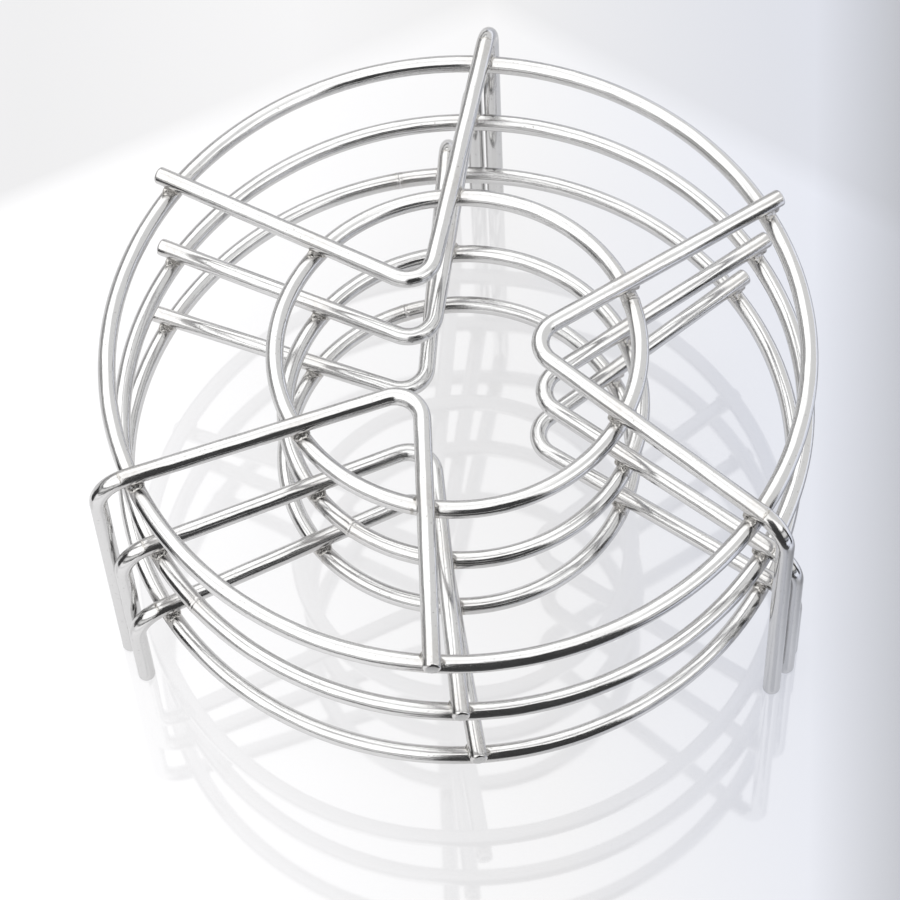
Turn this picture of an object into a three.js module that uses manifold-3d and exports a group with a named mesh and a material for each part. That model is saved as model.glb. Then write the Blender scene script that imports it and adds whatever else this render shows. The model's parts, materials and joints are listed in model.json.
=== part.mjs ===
// A nested set of three round wire cooling racks, in millimetres, +Z up, standing on z = 0.
//
// Each rack is two wire rings in one plane with three V-shaped wires welded across the top of both.
// A V's rounded tip points at the rack's axis. One arm is cut off just past the outer ring, and the
// other bends down past it and is a leg. The racks differ only in height. Each higher rack stands
// over the one below, turned a little, so that their legs stand side by side.
import * as THREE from "three";
import { mergeVertices } from "three/addons/utils/BufferGeometryUtils.js";
import Module from "manifold-3d";

// Wire and rings
const wireDiameter = 4.7;
const outerRingRadius = 90; // to the wire's centreline, as every radius here is
const innerRingRadius = 47;

// Leg wires: two straight arms seen from above, and a leg
const legsPerRack = 3;
const tipCornerRadius = 16.7; // from the rack's axis to where the two arms' lines cross
const freeArmAngle = 34.8; // degrees between an arm and the radius through that crossing
const legArmAngle = 38.5;
const tipBendRadius = 7;
const freeEndRun = 4.3; // what an arm runs on past the outer ring's centreline
const legBendStart = 1.8;
const legBendRadius = 8;

// Welds: what is left of a flattened drop of metal between two crossing wires
const seatGap = 0.5; // between ring and leg wire, where the weld metal is
const weldClearance = 0.15; // from the weld metal to each wire
const weldRadius = 2.2;
const weldHalfHeight = 1.3;

// The stack, from the lowest rack up: height from the feet to the top of the leg wires, and how far
// off the tall rack's axis a rack happens to stand
const racks = [
  { name: "low", height: 34, shift: [-0.9, 1.5] },
  { name: "middle", height: 60, shift: [0.8, 1.2] },
  { name: "tall", height: 89, shift: [0, 0] },
];
const tallRackTurn = 114.3; // degrees from +X to the first leg wire's tip
const legClearance = 1.2; // between the legs of neighbouring racks, where they are concentric

// Facets: the rings' counts are multiples of legsPerRack, so that every leg wire crosses them alike
const wireSides = 12;
const outerRingSegments = 48;
const innerRingSegments = 36;
const bendSegments = 5;
const weldSegments = 8;
const weldRings = 4;

const wireRadius = wireDiameter / 2;
const legWireRise = wireDiameter + seatGap; // from the rings' plane up to the leg wires' centrelines
const weldRise = wireRadius + seatGap / 2;

const wireMetal = new THREE.MeshStandardMaterial({ color: 0xd3d5d8, roughness: 0.16, metalness: 1 });
const weldMetal = new THREE.MeshStandardMaterial({ color: 0xa8a5a0, roughness: 0.4, metalness: 1 });

const manifold = await Module();
manifold.setup();

// A bend that leaves start along the unit vector heading and turns towards the unit vector inward.
class Bend extends THREE.Curve {
  constructor(start, heading, inward, radius, angle) {
    super();
    Object.assign(this, { start, heading, inward, radius, angle });
  }

  getPoint(t, target = new THREE.Vector3()) {
    const turned = t * this.angle;
    return target
      .copy(this.start)
      .addScaledVector(this.heading, this.radius * Math.sin(turned))
      .addScaledVector(this.inward, this.radius * (1 - Math.cos(turned)));
  }
}

// Straight runs and bends end to end, stepped once along each run and bendSegments times round each
// bend, however long they are.
class WirePath extends THREE.Curve {
  constructor(pieces) {
    super();
    this.stops = pieces.flatMap((piece) => {
      const steps = piece.isLineCurve3 ? 1 : bendSegments;
      return Array.from({ length: steps }, (_, step) => ({ piece, from: step / steps, to: (step + 1) / steps }));
    });
  }

  getPoint(t, target = new THREE.Vector3()) {
    const place = THREE.MathUtils.clamp(t, 0, 1) * this.stops.length;
    const index = Math.min(Math.floor(place), this.stops.length - 1);
    const { piece, from, to } = this.stops[index];
    return piece.getPoint(THREE.MathUtils.lerp(from, to, place - index), target);
  }

  getUtoTmapping(u) {
    return u;
  }
}

// A round wire of the given radius along a path.
function sweptWire(path, radius) {
  const section = new THREE.Shape();
  section.absarc(0, 0, radius, 0, 2 * Math.PI);
  return new THREE.ExtrudeGeometry(section, {
    steps: path.stops.length,
    curveSegments: wireSides / 2, // a full circle has twice as many sides
    extrudePath: path,
  });
}

// The unit vector in the rings' plane at an angle from the radius through a leg wire's tip.
function armDirection(angle) {
  const turn = THREE.MathUtils.degToRad(angle);
  return new THREE.Vector3(Math.cos(turn), Math.sin(turn), 0);
}

// How far along an arm, from the crossing of the two arms' lines, it passes a ring.
function armLengthTo(ringRadius, angle) {
  const turn = THREE.MathUtils.degToRad(angle);
  const across = tipCornerRadius * Math.sin(turn);
  return Math.sqrt(ringRadius ** 2 - across ** 2) - tipCornerRadius * Math.cos(turn);
}

const corner = new THREE.Vector3(tipCornerRadius, 0, 0);
const freeArm = armDirection(freeArmAngle);
const legArm = armDirection(-legArmAngle);
const freeArmLength = armLengthTo(outerRingRadius, freeArmAngle) + freeEndRun;
const legArmLength = armLengthTo(outerRingRadius, legArmAngle) + legBendStart + legBendRadius;
const legRadius = corner.clone().addScaledVector(legArm, legArmLength).length();

// The centreline of a leg wire, with its free end first and the rings' plane at z = 0.
function legWirePath(legDrop) {
  const tipAngle = THREE.MathUtils.degToRad(180 - freeArmAngle - legArmAngle); // what the wire turns through
  const tipTangent = tipBendRadius * Math.tan(tipAngle / 2);
  const up = new THREE.Vector3(0, 0, legWireRise);
  const down = new THREE.Vector3(0, 0, -1);
  const alongFree = (distance) => corner.clone().add(up).addScaledVector(freeArm, distance);
  const alongLeg = (distance) => corner.clone().add(up).addScaledVector(legArm, distance);

  const inbound = freeArm.clone().negate();
  const towardsLeg = legArm.clone().addScaledVector(inbound, -legArm.dot(inbound)).normalize();
  const bendStart = alongLeg(legArmLength - legBendRadius);
  const legTop = alongLeg(legArmLength).addScaledVector(down, legBendRadius);
  const foot = alongLeg(legArmLength).setZ(-legDrop);
  return new WirePath([
    new THREE.LineCurve3(alongFree(freeArmLength), alongFree(tipTangent)),
    new Bend(alongFree(tipTangent), inbound, towardsLeg, tipBendRadius, tipAngle),
    new THREE.LineCurve3(alongLeg(tipTangent), bendStart),
    new Bend(bendStart, legArm, down, legBendRadius, Math.PI / 2),
    new THREE.LineCurve3(legTop, foot),
  ]);
}

function ring(ringRadius, segments, sectionRadius) {
  return new THREE.TorusGeometry(ringRadius, sectionRadius, wireSides, segments);
}

function solidFrom(geometry) {
  const bare = geometry.clone();
  bare.deleteAttribute("normal");
  bare.deleteAttribute("uv");
  const merged = mergeVertices(bare, 1e-4);
  return new manifold.Manifold(
    new manifold.Mesh({
      numProp: 3,
      vertProperties: merged.attributes.position.array,
      triVerts: new Uint32Array(merged.index.array),
    }),
  );
}

function geometryFrom(solid) {
  const { vertProperties, triVerts } = solid.getMesh();
  const geometry = new THREE.BufferGeometry();
  geometry.setAttribute("position", new THREE.BufferAttribute(vertProperties, 3));
  geometry.setIndex(new THREE.BufferAttribute(triVerts, 1));
  geometry.computeVertexNormals();
  return geometry;
}

// The weld metal where one arm crosses one ring: a flattened drop, less both wires and their
// clearance.
function weld(ringRadius, segments, armAngle, legDrop) {
  const arm = armDirection(armAngle);
  const place = corner.clone().addScaledVector(arm, armLengthTo(ringRadius, armAngle));
  const drop = new THREE.SphereGeometry(1, weldSegments, weldRings);
  drop.rotateX(Math.PI / 2);
  drop.scale(weldRadius, weldRadius, weldHalfHeight);
  drop.translate(place.x, place.y, weldRise);
  const cutRadius = wireRadius + weldClearance;
  const cutRing = solidFrom(ring(ringRadius, segments, cutRadius));
  const cutWire = solidFrom(sweptWire(legWirePath(legDrop), cutRadius));
  return geometryFrom(solidFrom(drop).subtract(cutRing).subtract(cutWire));
}

function addPiece(group, name, geometry, material, turn = 0) {
  const mesh = new THREE.Mesh(geometry, material);
  mesh.name = name;
  mesh.rotation.z = turn;
  group.add(mesh);
}

// One rack about its own axis, feet at z = 0.
function rack(name, height) {
  const group = new THREE.Group();
  const ringPlane = height - wireRadius - legWireRise;
  const rings = [
    { name: "outer", radius: outerRingRadius, segments: outerRingSegments },
    { name: "inner", radius: innerRingRadius, segments: innerRingSegments },
  ];
  const onPlane = new THREE.Group();
  onPlane.position.z = ringPlane;
  group.add(onPlane);

  for (const { name: place, radius, segments } of rings) {
    addPiece(onPlane, `${name}_${place}_ring`, ring(radius, segments, wireRadius), wireMetal);
    const welds = [freeArmAngle, -legArmAngle].map((angle) => weld(radius, segments, angle, ringPlane));
    for (let leg = 0; leg < legsPerRack; leg++) {
      const turn = (leg * 2 * Math.PI) / legsPerRack;
      welds.forEach((geometry, arm) => {
        addPiece(onPlane, `${name}_${place}_weld_${2 * leg + arm + 1}`, geometry, weldMetal, turn);
      });
    }
  }
  const legWire = sweptWire(legWirePath(ringPlane), wireRadius);
  for (let leg = 0; leg < legsPerRack; leg++) {
    addPiece(onPlane, `${name}_leg_wire_${leg + 1}`, legWire, wireMetal, (leg * 2 * Math.PI) / legsPerRack);
  }
  return group;
}

// The nested set. The turn from rack to rack sets neighbouring legs side by side.
const turnStep = 2 * Math.asin((wireDiameter + legClearance) / (2 * legRadius));
const stack = new THREE.Group();
racks.forEach(({ name, height, shift }, level) => {
  const placed = rack(name, height);
  placed.position.set(shift[0], shift[1], 0);
  placed.rotation.z = THREE.MathUtils.degToRad(tallRackTurn) + (racks.length - 1 - level) * turnStep;
  stack.add(placed);
});

// The origin is on the table, under the middle of the set's box.
const centre = new THREE.Box3().setFromObject(stack, true).getCenter(new THREE.Vector3());
stack.position.set(-centre.x, -centre.y, 0);

const coolingRacks = new THREE.Group();
coolingRacks.name = "cooling_racks";
coolingRacks.add(stack);

export default coolingRacks;
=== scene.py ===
import json
import math

import bpy
from mathutils import Matrix, Vector
from mathutils.kdtree import KDTree


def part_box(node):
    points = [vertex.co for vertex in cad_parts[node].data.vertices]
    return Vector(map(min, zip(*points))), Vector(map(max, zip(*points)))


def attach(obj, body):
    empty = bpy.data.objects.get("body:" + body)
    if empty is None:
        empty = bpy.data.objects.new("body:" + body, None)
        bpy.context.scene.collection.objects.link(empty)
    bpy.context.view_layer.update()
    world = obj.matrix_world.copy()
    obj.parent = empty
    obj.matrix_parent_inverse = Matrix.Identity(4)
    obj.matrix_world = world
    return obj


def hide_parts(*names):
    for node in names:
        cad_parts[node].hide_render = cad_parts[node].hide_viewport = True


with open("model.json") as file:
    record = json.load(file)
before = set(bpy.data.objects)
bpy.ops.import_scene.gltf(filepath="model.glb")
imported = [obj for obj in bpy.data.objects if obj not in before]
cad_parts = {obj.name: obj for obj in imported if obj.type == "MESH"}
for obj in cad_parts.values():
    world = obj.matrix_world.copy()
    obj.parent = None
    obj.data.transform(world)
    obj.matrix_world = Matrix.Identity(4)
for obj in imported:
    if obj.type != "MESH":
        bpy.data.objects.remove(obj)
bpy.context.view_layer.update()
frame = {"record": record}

mm = 0.001
up = Vector((0, 0, 1))


def deselectAll():
    if bpy.context.object and bpy.context.object.mode != "OBJECT":
        bpy.ops.object.mode_set(mode="OBJECT")
    bpy.ops.object.select_all(action="DESELECT")


def pick(piece):
    deselectAll()
    piece.select_set(True)
    bpy.context.view_layer.objects.active = piece


def applyPlace(piece):
    pick(piece)
    bpy.ops.object.transform_apply(location=True, rotation=True, scale=True)


def copyPiece(piece, name, turn, place):
    # a copy with its own mesh, turned about the Z axis and moved, with both left in its mesh
    pick(piece)
    bpy.ops.object.duplicate(linked=False)
    copy = bpy.context.object
    copy.name = copy.data.name = name
    copy.rotation_euler.z = turn
    copy.location = place
    applyPlace(copy)
    return copy


def newGroup(name, inputs, outputs):
    group = bpy.data.node_groups.new(name, "ShaderNodeTree")
    for socket, kind, value in inputs:
        made = group.interface.new_socket(socket, in_out="INPUT", socket_type=kind)
        made.default_value = value
    for socket, kind in outputs:
        group.interface.new_socket(socket, in_out="OUTPUT", socket_type=kind)
    nodes, link = group.nodes, group.links.new
    return group, nodes, link, nodes.new("NodeGroupInput"), nodes.new("NodeGroupOutput")


def mathNode(nodes, link, operation, first, second=None, third=None):
    node = nodes.new("ShaderNodeMath")
    node.operation = operation
    for slot, value in enumerate((first, second, third)):
        if value is None:
            continue
        if isinstance(value, (int, float)):
            node.inputs[slot].default_value = value
        else:
            link(value, node.inputs[slot])
    return node.outputs[0]


def noiseNode(nodes, link, vector, scale, detail=2.0, roughness=0.5):
    node = nodes.new("ShaderNodeTexNoise")
    node.inputs["Scale"].default_value = scale
    node.inputs["Detail"].default_value = detail
    node.inputs["Roughness"].default_value = roughness
    link(vector, node.inputs["Vector"])
    return node.outputs["Fac"]


def rangeNode(nodes, link, value, low, high, toLow=0.0, toHigh=1.0):
    node = nodes.new("ShaderNodeMapRange")
    for slot, number in zip(("From Min", "From Max", "To Min", "To Max"), (low, high, toLow, toHigh)):
        node.inputs[slot].default_value = number
    link(value, node.inputs["Value"])
    return node.outputs["Result"]


def mixNode(nodes, link, amount, first, second):
    node = nodes.new("ShaderNodeMix")
    node.data_type = "RGBA"
    for slot, value in ((0, amount), (6, first), (7, second)):
        if isinstance(value, (int, float, tuple)):
            node.inputs[slot].default_value = value
        else:
            link(value, node.inputs[slot])
    return node.outputs[2]


def bumpNode(nodes, link, height, strength, distance, normal=None):
    node = nodes.new("ShaderNodeBump")
    node.inputs["Distance"].default_value = distance
    if isinstance(strength, float):
        node.inputs["Strength"].default_value = strength
    else:
        link(strength, node.inputs["Strength"])
    link(height, node.inputs["Height"])
    if normal is not None:
        link(normal, node.inputs["Normal"])
    return node.outputs["Normal"]


def makeDrawnGroup():
    # what the drawing die leaves: lines along the wire, a slow waver, and a few nicks
    group, nodes, link, given, out = newGroup(
        "drawnWire",
        [("Lines", "NodeSocketFloat", 0.3), ("Waver", "NodeSocketFloat", 0.5), ("Nicks", "NodeSocketFloat", 0.3)],
        [("Lines", "NodeSocketFloat"), ("Nicks", "NodeSocketFloat"), ("Normal", "NodeSocketVector")],
    )
    uv = nodes.new("ShaderNodeUVMap")
    uv.uv_map = "along_around"
    split = nodes.new("ShaderNodeSeparateXYZ")
    link(uv.outputs["UV"], split.inputs[0])
    angle = mathNode(nodes, link, "MULTIPLY", split.outputs["Y"], 2 * math.pi)
    across = mathNode(nodes, link, "COSINE", angle)
    over = mathNode(nodes, link, "SINE", angle)

    def onWire(alongScale):
        joined = nodes.new("ShaderNodeCombineXYZ")
        link(mathNode(nodes, link, "MULTIPLY", split.outputs["X"], alongScale), joined.inputs[0])
        link(across, joined.inputs[1])
        link(over, joined.inputs[2])
        return joined.outputs[0]

    lines = noiseNode(nodes, link, onWire(0.06), 14, 4, 0.65)
    waver = noiseNode(nodes, link, onWire(0.8), 0.9, 1, 0.4)
    nickNoise = noiseNode(nodes, link, onWire(3.2), 4.2, 2, 0.5)
    nicks = rangeNode(nodes, link, nickNoise, 0.66, 0.74)
    slow = bumpNode(nodes, link, waver, given.outputs["Waver"], 0.0016)
    fine = bumpNode(nodes, link, lines, given.outputs["Lines"], 0.00008, slow)
    sunk = mathNode(nodes, link, "MULTIPLY", nicks, -1)
    link(bumpNode(nodes, link, sunk, given.outputs["Nicks"], 0.00012, fine), out.inputs["Normal"])
    link(lines, out.inputs["Lines"])
    link(nicks, out.inputs["Nicks"])
    return group


def makeSmearGroup():
    # cleaning smears and faint finger marks, as a mask
    group, nodes, link, given, out = newGroup(
        "smears", [("Size", "NodeSocketFloat", 60.0)], [("Mask", "NodeSocketFloat")]
    )
    place = nodes.new("ShaderNodeTexCoord")
    cloud = nodes.new("ShaderNodeTexNoise")
    cloud.inputs["Detail"].default_value = 3
    link(place.outputs["Object"], cloud.inputs["Vector"])
    link(given.outputs["Size"], cloud.inputs["Scale"])
    link(rangeNode(nodes, link, cloud.outputs["Fac"], 0.45, 0.72), out.inputs["Mask"])
    return group


def makeHeatGroup():
    # straw and grey tint that welding leaves, from each point's own closeness to a weld
    group, nodes, link, given, out = newGroup(
        "weldHeat",
        [("Amount", "NodeSocketFloat", 0.5), ("Metal", "NodeSocketColor", (0.6, 0.6, 0.6, 1))],
        [("Color", "NodeSocketColor"), ("Mask", "NodeSocketFloat")],
    )
    near = nodes.new("ShaderNodeAttribute")
    near.attribute_name = "near_weld"
    place = nodes.new("ShaderNodeTexCoord")
    patchy = rangeNode(nodes, link, noiseNode(nodes, link, place.outputs["Object"], 900, 3, 0.6), 0.35, 0.65)
    patchy = mathNode(nodes, link, "MULTIPLY_ADD", patchy, 0.6, 0.4)
    mask = mathNode(nodes, link, "MULTIPLY", near.outputs["Fac"], patchy)
    mask = mathNode(nodes, link, "MULTIPLY", mask, given.outputs["Amount"])
    link(mixNode(nodes, link, mask, given.outputs["Metal"], (0.36, 0.31, 0.26, 1)), out.inputs["Color"])
    link(mask, out.inputs["Mask"])
    return group


def useGroup(nodes, group, **values):
    node = nodes.new("ShaderNodeGroup")
    node.node_tree = group
    for name, value in values.items():
        node.inputs[name].default_value = value
    return node


def newMaterial(name):
    material = bpy.data.materials.new(name)
    material.use_nodes = True
    nodes = material.node_tree.nodes
    return material, nodes, material.node_tree.links.new, nodes["Principled BSDF"]


drawnGroup, smearGroup, heatGroup = makeDrawnGroup(), makeSmearGroup(), makeHeatGroup()

wireFinish = {
    "metal": (0.665, 0.663, 0.660, 1),
    "edgeTint": (0.88, 0.88, 0.88, 1),
    "roughness": 0.085,
    "lineRoughness": 0.05,
    "smearRoughness": 0.06,
    "heatRoughness": 0.16,
    "lines": 0.17,
    "waver": 0.13,
    "nicks": 0.12,
    "heat": 0.25,
    "smearSize": 70.0,
}


def makeWireMaterial(name, finish):
    material, nodes, link, shader = newMaterial(name)
    drawn = useGroup(nodes, drawnGroup, Lines=finish["lines"], Waver=finish["waver"], Nicks=finish["nicks"])
    smear = useGroup(nodes, smearGroup, Size=finish["smearSize"])
    heat = useGroup(nodes, heatGroup, Amount=finish["heat"], Metal=finish["metal"])
    shader.inputs["Metallic"].default_value = 1
    shader.inputs["Specular Tint"].default_value = finish["edgeTint"]
    lineMask = rangeNode(nodes, link, drawn.outputs["Lines"], 0.4, 0.62)
    rough = mathNode(nodes, link, "MULTIPLY_ADD", lineMask, finish["lineRoughness"], finish["roughness"])
    rough = mathNode(nodes, link, "MULTIPLY_ADD", smear.outputs["Mask"], finish["smearRoughness"], rough)
    rough = mathNode(nodes, link, "MULTIPLY_ADD", heat.outputs["Mask"], finish["heatRoughness"], rough)
    link(rough, shader.inputs["Roughness"])
    # the base colour is darker in the nicks
    darkerInNicks = mixNode(nodes, link, drawn.outputs["Nicks"], heat.outputs["Color"], (0.42, 0.41, 0.40, 1))
    link(darkerInNicks, shader.inputs["Base Color"])
    link(drawn.outputs["Normal"], shader.inputs["Normal"])
    return material


cutFinish = {"metal": (0.55, 0.55, 0.55, 1), "roughness": 0.28, "shearScale": 2600, "shearDepth": 0.00006}


def makeCutMaterial(name, finish):
    # a wire end as the shear leaves it: fine steps, then a tumble that rounds its rim
    material, nodes, link, shader = newMaterial(name)
    place = nodes.new("ShaderNodeTexCoord")
    squeeze = nodes.new("ShaderNodeMapping")
    squeeze.inputs["Scale"].default_value = (1, 1, 0.15)
    link(place.outputs["Object"], squeeze.inputs["Vector"])
    steps = noiseNode(nodes, link, squeeze.outputs["Vector"], finish["shearScale"], 2, 0.6)
    shader.inputs["Metallic"].default_value = 1
    link(mixNode(nodes, link, steps, (0.40, 0.40, 0.40, 1), (0.70, 0.70, 0.69, 1)), shader.inputs["Base Color"])
    link(rangeNode(nodes, link, steps, 0.3, 0.7, finish["roughness"], finish["roughness"] + 0.15),
         shader.inputs["Roughness"])
    link(bumpNode(nodes, link, steps, 0.5, finish["shearDepth"]), shader.inputs["Normal"])
    return material


weldFinish = {"roughness": 0.16, "lumpScale": 900, "lumpDepth": 0.00035, "pitScale": 2400}


def makeWeldMaterial(name, finish):
    material, nodes, link, shader = newMaterial(name)
    place = nodes.new("ShaderNodeTexCoord")
    lumps = noiseNode(nodes, link, place.outputs["Object"], finish["lumpScale"], 3, 0.55)
    pitNoise = noiseNode(nodes, link, place.outputs["Object"], finish["pitScale"], 2, 0.5)
    pits = rangeNode(nodes, link, pitNoise, 0.60, 0.72)
    metal = mixNode(nodes, link, lumps, (0.40, 0.375, 0.345, 1), (0.68, 0.675, 0.66, 1))
    shader.inputs["Metallic"].default_value = 1
    link(mixNode(nodes, link, pits, metal, (0.16, 0.14, 0.12, 1)), shader.inputs["Base Color"])
    link(mathNode(nodes, link, "MULTIPLY_ADD", pits, 0.3, finish["roughness"]), shader.inputs["Roughness"])
    rise = mathNode(nodes, link, "MULTIPLY_ADD", pits, -0.5, lumps)
    link(bumpNode(nodes, link, rise, 0.8, finish["lumpDepth"]), shader.inputs["Normal"])
    return material


wireMetal = makeWireMaterial("drawnBrightSteel", wireFinish)
cutMetal = makeCutMaterial("shearedSteel", cutFinish)
weldMetal = makeWeldMaterial("weldSteel", weldFinish)
print("materials made")


# Wires: an open section is carried along runs and bends, and its stations are kept for the pattern

def boxSize(node):
    low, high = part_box(node)
    return high - low


solidRadius = boxSize("tall_outer_ring").z / 2  # to the faceted wire's corners
wire = {"radius": solidRadius - 0.03 * mm, "sides": 28, "runStep": 3 * mm, "endRound": 0.7 * mm,
        "weldReach": 3.6 * mm}


def startWire(name, place, heading):
    deselectAll()
    bpy.ops.mesh.primitive_circle_add(
        vertices=wire["sides"], radius=wire["radius"], fill_type="NOTHING",
        location=place, rotation=heading.to_track_quat("Z", "Y").to_euler())
    piece = bpy.context.object
    piece.name = piece.data.name = name
    applyPlace(piece)
    bpy.ops.object.mode_set(mode="EDIT")
    bpy.ops.mesh.select_mode(type="EDGE")
    bpy.ops.mesh.select_all(action="SELECT")
    return piece


def formWire(name, place, heading, above, moves):
    # moves are ("run", length) and ("bend", radius, angle, axis, steps), taken in turn from place
    piece = startWire(name, place, heading)
    stations, gone = [(place.copy(), heading.copy(), above.copy(), 0.0)], 0.0
    for move in moves:
        if move[0] == "run":
            steps = max(1, round(move[1] / wire["runStep"]))
            shift = heading * (move[1] / steps)
            for _ in range(steps):
                bpy.ops.mesh.extrude_region_move(TRANSFORM_OT_translate={"value": shift})
                place = place + shift
                gone += shift.length
                stations.append((place.copy(), heading.copy(), above.copy(), gone))
        else:
            _, radius, angle, axis, steps = move
            center = place + radius * axis.cross(heading)
            bpy.ops.mesh.spin(steps=steps, angle=-angle, center=center, axis=axis)  # it turns the other way
            turn = Matrix.Rotation(angle / steps, 3, axis)
            for _ in range(steps):
                place = center + turn @ (place - center)
                heading, above = turn @ heading, turn @ above
                gone += radius * angle / steps
                stations.append((place.copy(), heading.copy(), above.copy(), gone))
    return piece, stations


def markWire(piece, stations, welds):
    # the along_around map: centimetres along the wire, and turns round it, and how close a weld is
    tree = KDTree(len(stations))
    for number, station in enumerate(stations):
        tree.insert(station[0], number)
    tree.balance()
    spots = []
    for vertex in piece.data.vertices:
        point, heading, above, gone = stations[tree.find(vertex.co)[1]]
        off = vertex.co - point
        round_ = math.atan2(off.dot(above.cross(heading)), off.dot(above)) / (2 * math.pi)
        spots.append(((gone + off.dot(heading)) * 100, round_ % 1.0))
    layer = piece.data.uv_layers.new(name="along_around")
    length = stations[-1][3] * 100
    for face in piece.data.polygons:
        alongs = [spots[piece.data.loops[i].vertex_index][0] for i in face.loop_indices]
        turns = [spots[piece.data.loops[i].vertex_index][1] for i in face.loop_indices]
        for i, along, turned in zip(face.loop_indices, alongs, turns):
            if max(turns) - min(turns) > 0.5 and turned < 0.5:
                turned += 1
            if max(alongs) - min(alongs) > length / 2 and along < length / 2:
                along += length
            layer.data[i].uv = (along, turned)
    near = piece.data.attributes.new("near_weld", "FLOAT", "POINT")
    for vertex in piece.data.vertices:
        reach = min((vertex.co - spot).length for spot in welds) - wire["radius"]
        near.data[vertex.index].value = math.exp(-max(reach, 0) / wire["weldReach"])


def finishWire(piece):
    applyPlace(piece)
    bpy.ops.object.mode_set(mode="EDIT")
    bpy.ops.mesh.select_all(action="SELECT")
    bpy.ops.mesh.normals_make_consistent(inside=False)
    bpy.ops.object.mode_set(mode="OBJECT")
    bpy.ops.object.shade_smooth_by_angle(angle=math.radians(40))


ring = {"steps": 180, "seamLength": 2.4 * mm, "seamSteps": 8,
        "seamSwell": (1.006, 1.02, 1.045, 0.975, 1.045, 1.02, 1.006)}


def makeRing(name, center, radius, seamAngle, welds):
    out = Vector((math.cos(seamAngle), math.sin(seamAngle), 0))
    seam = ring["seamLength"] / radius
    moves = [("bend", radius, seam, up, ring["seamSteps"]),
             ("bend", radius, 2 * math.pi - seam, up, ring["steps"])]
    piece, stations = formWire(name, center + out * radius, up.cross(out), up, moves)
    bpy.ops.mesh.select_all(action="SELECT")
    bpy.ops.mesh.remove_doubles(threshold=0.01 * mm)
    # the butt weld that closes the ring: metal squeezed out either side of a fine groove
    for (point, heading, _, _), swell in zip(stations[1:], ring["seamSwell"]):
        bpy.ops.mesh.select_all(action="DESELECT")
        bpy.ops.object.mode_set(mode="OBJECT")
        for vertex in piece.data.vertices:
            off = vertex.co - point
            vertex.select = off.length < 1.5 * wire["radius"] and abs(off.dot(heading)) < 0.05 * mm
        bpy.ops.object.mode_set(mode="EDIT")
        bpy.ops.mesh.select_mode(type="VERT")
        bpy.ops.transform.resize(value=(swell, swell, swell), center_override=point)
    finishWire(piece)
    markWire(piece, stations, welds + [stations[len(ring["seamSwell"]) // 2 + 1][0]])
    piece.data.materials.append(wireMetal)
    return piece


rackNames = ("low", "middle", "tall")
legsPerRack = 3
legWire = {"tipCorner": 16.7 * mm, "freeAngle": math.radians(34.8), "legAngle": math.radians(38.5),
           "tipRadius": 7 * mm, "tipSteps": 14, "freeEndRun": 4.3 * mm, "legBendStart": 1.8 * mm,
           "legRadius": 8 * mm, "legSteps": 12, "footGap": 0.01 * mm}
seams = {"low_outer": 97, "low_inner": 104, "middle_outer": 217, "middle_inner": 228,
         "tall_outer": 262, "tall_inner": 12}  # degrees from +X


def armEnd(radius, angle):
    # how far along an arm from its corner a ring of that radius is crossed
    corner = legWire["tipCorner"]
    return math.sqrt(radius ** 2 - (corner * math.sin(angle)) ** 2) - corner * math.cos(angle)


def boxMiddle(node):
    low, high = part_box(node)
    return (low + high) / 2


def boxRadius(node):
    size = boxSize(node)
    return (size.x + size.y) / 4 - solidRadius


corner = Vector((legWire["tipCorner"], 0, 0))
freeWay = Vector((math.cos(legWire["freeAngle"]), math.sin(legWire["freeAngle"]), 0))
legWay = Vector((math.cos(legWire["legAngle"]), -math.sin(legWire["legAngle"]), 0))
outerRadius = boxRadius("tall_outer_ring")
innerRadius = boxRadius("tall_inner_ring")
legOut = armEnd(outerRadius, legWire["legAngle"]) + legWire["legBendStart"] + legWire["legRadius"]
footSpot = corner + legWay * legOut
feet = {m["name"]: Vector(m["pos_m"]) for m in frame["record"]["mounts"]}


def readRack(name):
    # where the rack stands, how it is turned, and its heights, all read from the frame
    center = boxMiddle(name + "_outer_ring")
    toFoot = feet[name + "_rack_foot_1"] - center
    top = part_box(name + "_leg_wire_1")[1].z
    return {"name": name, "center": center, "wireHeight": top - solidRadius,
            "turn": math.atan2(toFoot.y, toFoot.x) - math.atan2(footSpot.y, footSpot.x)}


racks = [readRack(name) for name in rackNames]
weldKinds = [("outer", outerRadius, 0, freeWay, legWire["freeAngle"]),
             ("outer", outerRadius, 1, legWay, legWire["legAngle"]),
             ("inner", innerRadius, 0, freeWay, legWire["freeAngle"]),
             ("inner", innerRadius, 1, legWay, legWire["legAngle"])]


def legTurn(rack, leg):
    return rack["turn"] + leg * 2 * math.pi / legsPerRack


def weldSpot(rack, leg, radius, way, angle):
    flat = corner + way * armEnd(radius, angle)
    flat.rotate(Matrix.Rotation(legTurn(rack, leg), 3, "Z"))
    between = (rack["center"].z + rack["wireHeight"]) / 2
    return Vector((rack["center"].x + flat.x, rack["center"].y + flat.y, between))


def rackWelds(rack, ringName=None):
    return [weldSpot(rack, leg, radius, way, angle) for leg in range(legsPerRack)
            for name, radius, _, way, angle in weldKinds if ringName in (None, name)]


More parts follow.
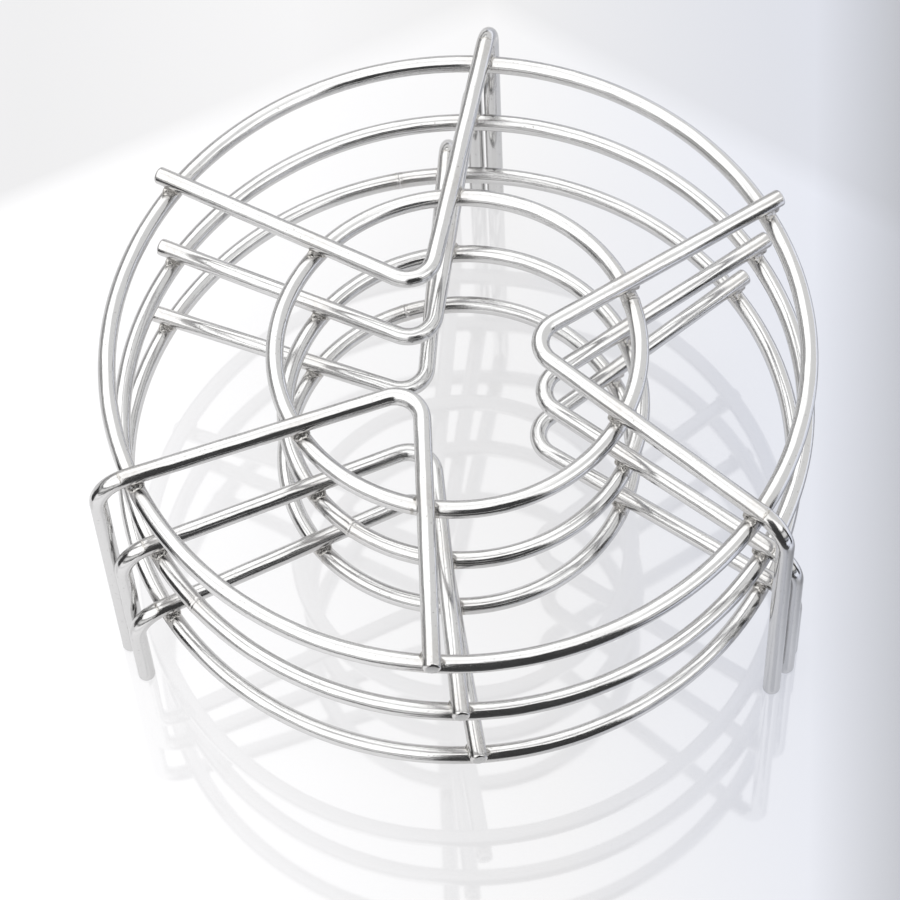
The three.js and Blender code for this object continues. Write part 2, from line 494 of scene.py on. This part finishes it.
def makeLegWire(name, rack):
    # free end, free arm, tip, leg arm, bend and leg, in the rack's own place before it is turned
    between = legWire["freeAngle"] + legWire["legAngle"]
    tangent = legWire["tipRadius"] / math.tan(between / 2)
    freeRun = armEnd(outerRadius, legWire["freeAngle"]) + legWire["freeEndRun"]
    legRun = armEnd(outerRadius, legWire["legAngle"]) + legWire["legBendStart"]
    start = corner + freeWay * freeRun + up * rack["wireHeight"]
    moves = [("run", freeRun - tangent),
             ("bend", legWire["tipRadius"], math.pi - between, up, legWire["tipSteps"]),
             ("run", legRun - tangent),
             ("bend", legWire["legRadius"], math.pi / 2, up.cross(legWay), legWire["legSteps"]),
             ("run", rack["wireHeight"] - legWire["legRadius"] - legWire["footGap"])]
    piece, stations = formWire(name, start, -freeWay, up, moves)
    bpy.ops.mesh.select_all(action="DESELECT")
    bpy.ops.mesh.select_non_manifold()
    bpy.ops.mesh.fill_holes(sides=0)
    bpy.ops.mesh.select_all(action="DESELECT")
    bpy.ops.mesh.select_face_by_sides(number=4, type="GREATER")
    bpy.ops.mesh.bevel(offset=wire["endRound"], segments=4, affect="EDGES")
    finishWire(piece)
    local = [corner + way * armEnd(radius, angle) + up * rack["wireHeight"]
             for _, radius, _, way, angle in weldKinds]
    markWire(piece, stations, local)
    piece.data.materials.append(wireMetal)
    piece.data.materials.append(cutMetal)
    for face in piece.data.polygons:
        if len(face.vertices) > 4:
            face.material_index = 1
    return piece


# Welds: stubs of both wires and a few beads are fused, and smoothing leaves metal in the corners

weld = {"stub": 8 * mm, "stubRadius": wire["radius"] - 0.05 * mm, "grain": 0.32 * mm, "smoothing": 10,
        "beads": ((0.9, 2.5, 0.1), (0.75, 2.55, 1.7), (0.95, 2.45, 3.3), (0.8, 2.6, 4.7))}


def makeWeld(name, rise, ringWay, armWay):
    # beads are (radius, distance from the crossing, direction in radians), in mm
    deselectAll()
    parts = []
    for way, height in ((ringWay, 0), (armWay, rise)):
        bpy.ops.mesh.primitive_cylinder_add(
            vertices=48, radius=weld["stubRadius"], depth=weld["stub"], location=(0, 0, height),
            rotation=way.to_track_quat("Z", "Y").to_euler())
        parts.append(bpy.context.object)
    bpy.ops.mesh.primitive_uv_sphere_add(segments=24, ring_count=12, radius=2.1 * mm, location=(0, 0, rise / 2))
    bpy.context.object.scale.z = 0.6
    parts.append(bpy.context.object)
    for radius, distance, direction in weld["beads"]:
        spot = Vector((math.cos(direction), math.sin(direction), 0)) * distance * mm + up * rise / 2
        bpy.ops.mesh.primitive_ico_sphere_add(subdivisions=3, radius=radius * mm, location=spot)
        parts.append(bpy.context.object)
    deselectAll()
    for part in parts:
        part.select_set(True)
    bpy.context.view_layer.objects.active = parts[0]
    bpy.ops.object.join()
    piece = bpy.context.object
    piece.name = piece.data.name = name
    applyPlace(piece)
    for kind, label in (("REMESH", "fuse"), ("SMOOTH", "settle")):
        piece.modifiers.new(label, kind)
    piece.modifiers["fuse"].mode = "VOXEL"
    piece.modifiers["fuse"].voxel_size = weld["grain"]
    piece.modifiers["settle"].factor = 0.6
    piece.modifiers["settle"].iterations = weld["smoothing"]
    for label in ("fuse", "settle"):
        bpy.ops.object.modifier_apply(modifier=label)
    bpy.ops.object.shade_smooth()
    piece.data.materials.append(weldMetal)
    return piece


def handOver(piece, node, rack):
    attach(piece, rack["name"] + "_rack")
    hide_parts(node)


for rack in racks:
    for ringName, radius in (("outer", outerRadius), ("inner", innerRadius)):
        node = f"{rack['name']}_{ringName}_ring"
        seam = math.radians(seams[f"{rack['name']}_{ringName}"])
        piece = makeRing(node + "_wire", boxMiddle(node), radius, seam, rackWelds(rack, ringName))
        handOver(piece, node, rack)
    pattern = makeLegWire("pattern", rack)
    for leg in range(legsPerRack):
        node = f"{rack['name']}_leg_wire_{leg + 1}"
        place = (rack["center"].x, rack["center"].y, 0)
        handOver(copyPiece(pattern, node + "_bent", legTurn(rack, leg), place), node, rack)
    bpy.data.objects.remove(pattern)
    print(rack["name"], "rack: rings and leg wires made")

rise = racks[0]["wireHeight"] - racks[0]["center"].z
for ringName, radius, arm, way, angle in weldKinds:
    spot = corner + way * armEnd(radius, angle)
    pattern = makeWeld("pattern", rise, up.cross(spot).normalized(), way)
    applyPlace(pattern)
    for rack in racks:
        for leg in range(legsPerRack):
            node = f"{rack['name']}_{ringName}_weld_{2 * leg + arm + 1}"
            turned = spot.copy()
            turned.rotate(Matrix.Rotation(legTurn(rack, leg), 3, "Z"))
            place = rack["center"] + turned
            handOver(copyPiece(pattern, node + "_bead", legTurn(rack, leg), place), node, rack)
    bpy.data.objects.remove(pattern)
print("welds made")


studio = {
    "lens": 146.8, "distance": 0.9402, "aside": -0.00182, "above": -0.02572,
    "elevation": math.radians(60), "roll": math.radians(-3.52),
    "skyStrength": 1.0,
}


def makeCamera():
    bpy.ops.object.camera_add()
    camera = bpy.context.object
    lift, roll = studio["elevation"], studio["roll"]
    ahead = Vector((0, math.cos(lift), -math.sin(lift)))
    level, upright = Vector((1, 0, 0)), Vector((0, math.sin(lift), math.cos(lift)))
    right = level * math.cos(roll) + upright * math.sin(roll)
    above = upright * math.cos(roll) - level * math.sin(roll)
    target = boxMiddle("tall_outer_ring")
    place = target - ahead * studio["distance"] + right * studio["aside"] + above * studio["above"]
    camera.matrix_world = Matrix.Translation(place) @ Matrix((right, above, -ahead)).transposed().to_4x4()
    camera.data.lens = studio["lens"]
    camera.data.sensor_width = 36
    camera.data.clip_start = 0.01
    bpy.context.scene.camera = camera


def makeFloor():
    # a pale glossy panel whose emission is painted light: it glows brightest on the left, with a painted dark end on
    # the right
    deselectAll()
    bpy.ops.mesh.primitive_plane_add(size=floorLook["size"], location=(0, 0, 0))
    floor = bpy.context.object
    floor.name = "studio_floor"
    material, nodes, link, shader = newMaterial("glossFloorPaintedLight")
    place = nodes.new("ShaderNodeTexCoord")
    split = nodes.new("ShaderNodeSeparateXYZ")
    link(place.outputs["Object"], split.inputs[0])
    x, y = split.outputs["X"], split.outputs["Y"]
    # painted light: the emission falls off from left to right, standing in for the light across the floor
    paintedGlow = rangeNode(nodes, link, x, -0.12, 0.10, *floorLook["paintedGlow"])
    # painted shade: the far side is a little darker, beyond a line that is highest in the middle
    off = mathNode(nodes, link, "SUBTRACT", x, floorLook["farShadeLine"][0])
    farShadeLine = mathNode(nodes, link, "MULTIPLY_ADD", mathNode(nodes, link, "ABSOLUTE", off), floorLook["farShadeLineFall"], y)
    farShadeLine = mathNode(nodes, link, "MULTIPLY_ADD", off, floorLook["farShadeLineLean"], farShadeLine)
    behind = rangeNode(nodes, link, farShadeLine, floorLook["farShadeLine"][1] - 0.006, floorLook["farShadeLine"][1] + 0.006)
    farShade = mathNode(nodes, link, "MULTIPLY", behind, rangeNode(nodes, link, x, *floorLook["farShadeDepth"]))
    paintedGlow = mathNode(nodes, link, "SUBTRACT", paintedGlow, farShade)
    # painted shade: the glow is cut down towards a dark end on the right, and painted light is added again beyond that
    # end
    end = mathNode(nodes, link, "MULTIPLY_ADD", y, -floorLook["endSlope"], x)
    paintedGlow = mathNode(nodes, link, "MULTIPLY", paintedGlow, rangeNode(nodes, link, end, *floorLook["end"]))
    paintedGlow = mathNode(nodes, link, "ADD", paintedGlow, rangeNode(nodes, link, end, *floorLook["beyond"]))
    shader.inputs["Base Color"].default_value = floorLook["paint"]
    shader.inputs["Roughness"].default_value = floorLook["roughness"]
    shader.inputs["IOR"].default_value = floorLook["ior"]
    # painted cool shade: the emission turns bluer towards the dim right side
    paintedCoolShade = rangeNode(nodes, link, x, 0.02, 0.13)
    link(mixNode(nodes, link, paintedCoolShade, (0.995, 0.99, 1, 1), (0.88, 0.93, 1.10, 1)), shader.inputs["Emission Color"])
    link(paintedGlow, shader.inputs["Emission Strength"])
    floor.data.materials.append(material)


# the floor's painted light and shade: the glow across it, the darker far side, the dark right end and the light beyond
# it
floorLook = {
    "size": 8.0, "paint": (0.15, 0.15, 0.152, 1), "roughness": 0.045, "ior": 1.9,
    "paintedGlow": (0.76, 0.52), "farShadeLine": (0.0176, 0.165), "farShadeLineFall": 0.60, "farShadeLineLean": 0.17, "farShadeDepth": (-0.12, -0.04, 0.24, 0.09),
    "endSlope": 0.11, "end": (0.097, 0.130, 1.0, 0.33), "beyond": (0.15, 0.20, 0.0, 0.55),
}


def makeFlag(name, corners):
    # a black card that the metal sees from its front only, and the camera doesn't see at all
    deselectAll()
    bpy.ops.mesh.primitive_plane_add(size=1)
    flag = bpy.context.object
    flag.name = name
    for vertex, place in zip(flag.data.vertices, corners):
        vertex.co = place
    material, nodes, link, shader = newMaterial(name + "_black")
    shader.inputs["Base Color"].default_value = (0.06, 0.06, 0.06, 1)
    shader.inputs["Specular IOR Level"].default_value = 0
    side = nodes.new("ShaderNodeNewGeometry")
    clear = nodes.new("ShaderNodeBsdfTransparent")
    pickSide = nodes.new("ShaderNodeMixShader")
    link(side.outputs["Backfacing"], pickSide.inputs[0])
    link(shader.outputs[0], pickSide.inputs[1])
    link(clear.outputs[0], pickSide.inputs[2])
    link(pickSide.outputs[0], nodes["Material Output"].inputs["Surface"])
    flag.data.materials.append(material)
    flag.visible_camera = flag.visible_diffuse = flag.visible_shadow = flag.visible_transmission = False


# each card's corners: near left, near right, far left, far right, seen from its front
flags = {
    "front_flag": ((0.19, -0.26, 0), (-0.05, -0.30, 0), (0.19, -0.26, 0.5), (-0.05, -0.30, 0.5)),
    "front_floor_flag": ((-0.05, -0.30, 0.001), (0.19, -0.26, 0.001), (-0.05, -0.17, 0.001), (0.19, -0.16, 0.001)),
    "far_floor_flag": ((-0.6, -1.6, 0.001), (1.2, -1.6, 0.001), (-0.6, -0.42, 0.001), (1.2, -0.42, 0.001)),
    "left_flag": ((-0.22, -0.09, 0), (-0.22, 0.0, 0), (-0.22, -0.09, 0.11), (-0.22, 0.0, 0.11)),
    "right_flag": ((0.22, -0.07, 0), (0.22, -0.12, 0), (0.22, -0.07, 0.15), (0.22, -0.12, 0.15)),
}


studioSky = {
    "stops": ((-90, 0.8), (-3, 0.8), (-1, 0.15), (4, 0.15), (7, 0.9), (19, 1.0), (21.5, 0.12), (25, 0.12),
              (27.5, 1.75), (60, 1.75), (90, 1.5)),
    "gapLight": 0.55, "boxEnd": 0.2, "wallStart": 0.32, "wallLight": 0.92, "wallFront": (-0.30, -0.12),
    "underBoxes": (0.42, 0.38), "leftWall": (-0.30, -0.48), "backWall": (-0.55, -0.42), "leftDim": 0.4,
}


def makeWorld():
    # soft boxes above pale walls, with the dark gaps between them; the camera sees only a plain pale wall
    world = bpy.data.worlds.new("studio")
    bpy.context.scene.world = world
    world.use_nodes = True
    nodes, link = world.node_tree.nodes, world.node_tree.links.new
    back = nodes["Background"]
    place = nodes.new("ShaderNodeTexCoord")
    split = nodes.new("ShaderNodeSeparateXYZ")
    link(place.outputs["Generated"], split.inputs[0])
    ramp = nodes.new("ShaderNodeValToRGB")
    stops = studioSky["stops"]
    while len(ramp.color_ramp.elements) < len(stops):
        ramp.color_ramp.elements.new(0.5)
    for element, (degrees, light) in zip(ramp.color_ramp.elements, stops):
        element.position = 0.5 + 0.5 * math.sin(math.radians(degrees))
        element.color = (light / 4, light / 4, light / 4, 1)
    link(mathNode(nodes, link, "MULTIPLY_ADD", split.outputs["Z"], 0.5, 0.5), ramp.inputs["Fac"])
    light = mathNode(nodes, link, "MULTIPLY", ramp.outputs["Color"], 4)
    # a soft gap across the overhead boxes
    gap = mathNode(nodes, link, "MULTIPLY_ADD", split.outputs["Z"], -0.24, split.outputs["Y"])
    gap = rangeNode(nodes, link, mathNode(nodes, link, "ABSOLUTE", gap), 0.015, 0.04, studioSky["gapLight"], 1.0)
    light = mathNode(nodes, link, "MULTIPLY", light, gap)
    # the wall under the boxes is greyer at the back left
    low = rangeNode(nodes, link, split.outputs["Z"], *studioSky["underBoxes"])
    left = rangeNode(nodes, link, split.outputs["X"], *studioSky["leftWall"])
    left = mathNode(nodes, link, "MULTIPLY", left, rangeNode(nodes, link, split.outputs["Y"], *studioSky["backWall"]))
    dim = mathNode(nodes, link, "MULTIPLY", mathNode(nodes, link, "MULTIPLY", low, left), -studioSky["leftDim"])
    light = mathNode(nodes, link, "MULTIPLY", light, mathNode(nodes, link, "ADD", dim, 1))
    # the boxes end a little to the right of overhead, and an even grey wall stands beyond
    side = rangeNode(nodes, link, split.outputs["X"], studioSky["boxEnd"], studioSky["wallStart"])
    side = mathNode(nodes, link, "MULTIPLY", side, rangeNode(nodes, link, split.outputs["Y"], *studioSky["wallFront"]))
    light = mixNode(nodes, link, side, light, (studioSky["wallLight"],) * 3 + (1,))
    seen = nodes.new("ShaderNodeLightPath")
    color = mixNode(nodes, link, seen.outputs["Is Camera Ray"], light, (0.93, 0.94, 0.96, 1))
    link(color, back.inputs["Color"])
    back.inputs["Strength"].default_value = studio["skyStrength"]


bpy.context.scene.view_settings.view_transform = "Standard"
makeCamera()
makeFloor()
for name, corners in flags.items():
    makeFlag(name, corners)
makeWorld()
print("studio made")
